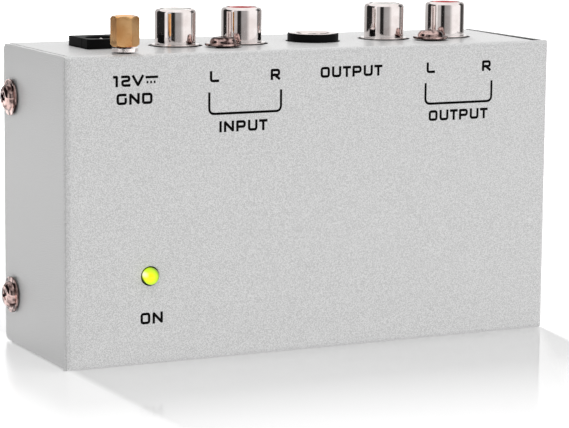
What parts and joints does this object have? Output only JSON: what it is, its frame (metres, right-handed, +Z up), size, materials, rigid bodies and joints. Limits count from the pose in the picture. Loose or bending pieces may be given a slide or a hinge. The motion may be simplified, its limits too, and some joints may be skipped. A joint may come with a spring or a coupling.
{
  "type": "phono preamplifier",
  "caption": "Folded steel box on its narrow side, with phono sockets, a stereo socket, a power socket and a ground nut on top and a screwed back cover.",
  "frame": {"origin": "middle of the flat base that the box stands on, halfway along its length and through its folded depth", "axes": "+X along the case towards the output sockets, +Y from the labelled front face to the screwed back cover, +Z up from the base to the row of sockets"},
  "size_m": [0.1142, 0.0364, 0.0695],
  "materials": {
    "case_coat": "fine matt powder coat",
    "cover_coat": "fine matt powder coat",
    "nickel": "bright nickel plate",
    "screw_steel": "bright plated steel",
    "contact_gold": "thin gold flash",
    "brass": "turned brass",
    "tin": "dull tin plate",
    "black_moulding": "fine matt moulding",
    "chip_moulding": "matt moulding",
    "can_sleeve": "shrunk film sleeve",
    "film_box": "satin moulding",
    "board_laminate": "solder mask over glass laminate",
    "lamp_lens": "clear tinted resin, lit",
    "white_insulator": "satin moulding",
    "red_insulator": "satin moulding"
  },
  "bodies": {
    "case": {"case_tray": "case_coat", "back_cover": "cover_coat", "cover_screw_left_lower": "screw_steel", "cover_screw_left_upper": "screw_steel", "cover_screw_right_lower": "screw_steel", "cover_screw_right_upper": "screw_steel", "input_jack_block": "black_moulding", "output_jack_block": "black_moulding", "input_block_screw": "screw_steel", "output_block_screw": "screw_steel", "input_left_shell": "nickel", "input_left_insulator": "white_insulator", "input_left_contact": "contact_gold", "input_right_shell": "nickel", "input_right_insulator": "red_insulator", "input_right_contact": "contact_gold", "output_left_shell": "nickel", "output_left_insulator": "white_insulator", "output_left_contact": "contact_gold", "output_right_shell": "nickel", "output_right_insulator": "red_insulator", "output_right_contact": "contact_gold", "stereo_jack_body": "black_moulding", "stereo_jack_bushing": "nickel", "stereo_jack_tip_contact": "contact_gold", "stereo_jack_ring_contact": "contact_gold", "power_jack_body": "black_moulding", "power_jack_pin": "nickel", "power_jack_contact": "nickel", "ground_screw": "screw_steel", "ground_lock_washer": "screw_steel", "power_lamp": "lamp_lens", "power_lamp_left_leg": "tin", "power_lamp_right_leg": "tin", "circuit_board": "board_laminate", "input_amplifier_chip": "chip_moulding", "output_amplifier_chip": "chip_moulding", "supply_capacitor": "can_sleeve", "bias_capacitor": "can_sleeve", "output_capacitor_left": "can_sleeve", "output_capacitor_right": "can_sleeve", "equaliser_capacitor_left_bass": "film_box", "equaliser_capacitor_left_treble": "film_box", "equaliser_capacitor_right_bass": "film_box", "equaliser_capacitor_right_treble": "film_box", "voltage_regulator": "chip_moulding", "protection_diode": "chip_moulding"},
    "terminal_washer": {"ground_washer": "nickel"},
    "terminal_nut": {"ground_nut": "brass"}
  },
  "joints": [
    {"name": "terminal_turn", "type": "hinge", "parent": "case", "child": "terminal_washer", "pos_m": [-0.0405, -0.0122, 0.062], "axis": [0, 0, 1], "range_deg": [0, 2880]},
    {"name": "terminal_lift", "type": "slide", "parent": "terminal_washer", "child": "terminal_nut", "axis": [0, 0, 1], "range_m": [0, 0.004]}
  ],
  "couplings": [
    {"joint": "terminal_turn", "follows": "terminal_lift", "rad_per_m": 12566}
  ]
}
